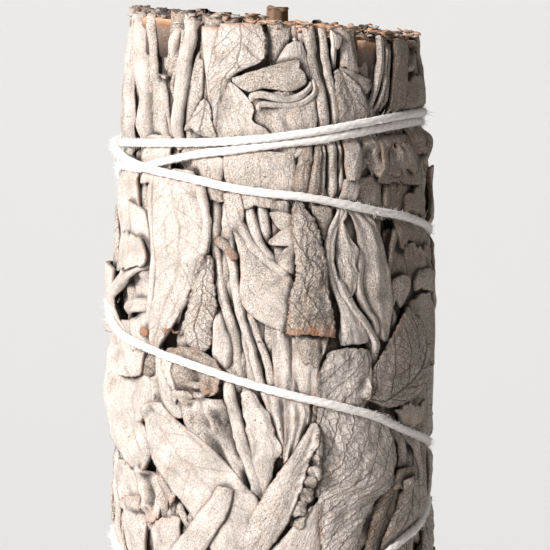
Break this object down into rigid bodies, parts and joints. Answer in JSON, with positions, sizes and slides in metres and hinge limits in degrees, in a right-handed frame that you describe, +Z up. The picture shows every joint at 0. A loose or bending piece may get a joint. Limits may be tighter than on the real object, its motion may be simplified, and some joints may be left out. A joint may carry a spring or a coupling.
{
  "type": "sage bunch",
  "caption": "Stick of dried sage sprigs packed side by side, cut off square at both ends and wound from end to end with white cotton string.",
  "frame": {"origin": "on the bunch's long axis at its flat lower cut end", "axes": "+Z up along the bunch; its front, with the crossing of the string at the upper left, faces -Y"},
  "size_m": [0.0406, 0.042, 0.1064],
  "materials": {
    "leaf": "matt felted dried leaf, pale grey-beige",
    "leaf_brown": "matt dried leaf, brown-grey and veined",
    "stem": "rough brown woody stem, pale where it is cut",
    "string": "white twisted cotton string with a fine nap"
  },
  "bodies": {
    "root": {"leaf_back_high": "leaf", "leaf_back_left": "leaf", "leaf_back_low": "leaf", "leaf_big_veined": "leaf", "leaf_broad_left": "leaf", "leaf_broad_slant": "leaf", "leaf_brown_wad": "leaf_brown", "leaf_crumpled": "leaf", "leaf_folded": "leaf", "leaf_left_fold": "leaf", "leaf_long_folds": "leaf", "leaf_long_slant": "leaf", "leaf_low_front": "leaf", "leaf_low_left": "leaf", "leaf_mid_band": "leaf", "leaf_mid_smooth": "leaf", "leaf_right_low": "leaf", "leaf_rolled_short": "leaf", "leaf_rough_centre": "leaf_brown", "leaf_side_left_low": "leaf", "leaf_side_right_high": "leaf", "leaf_side_right_low": "leaf", "leaf_slant_right": "leaf", "leaf_smooth_upper": "leaf", "leaf_swan_neck": "leaf", "leaf_top_veined": "leaf", "leaf_veined_upper": "leaf", "sprig_heart_1": "leaf", "sprig_heart_2": "leaf", "sprig_heart_3": "leaf", "sprig_ring_1": "leaf", "sprig_ring_2": "leaf", "sprig_ring_3": "leaf", "sprig_ring_4": "leaf", "sprig_ring_5": "leaf", "sprig_ring_6": "leaf", "sprig_ring_7": "leaf", "sprig_ring_8": "leaf", "stem_centre": "stem", "stem_heart_1": "stem", "stem_heart_2": "stem", "stem_heart_3": "stem", "stem_ring_1": "stem", "stem_ring_2": "stem", "stem_ring_3": "stem", "stem_ring_4": "stem", "stem_ring_5": "stem", "stem_ring_6": "stem", "stem_ring_7": "stem", "stem_ring_8": "stem", "string": "string"}
  },
  "joints": []
}
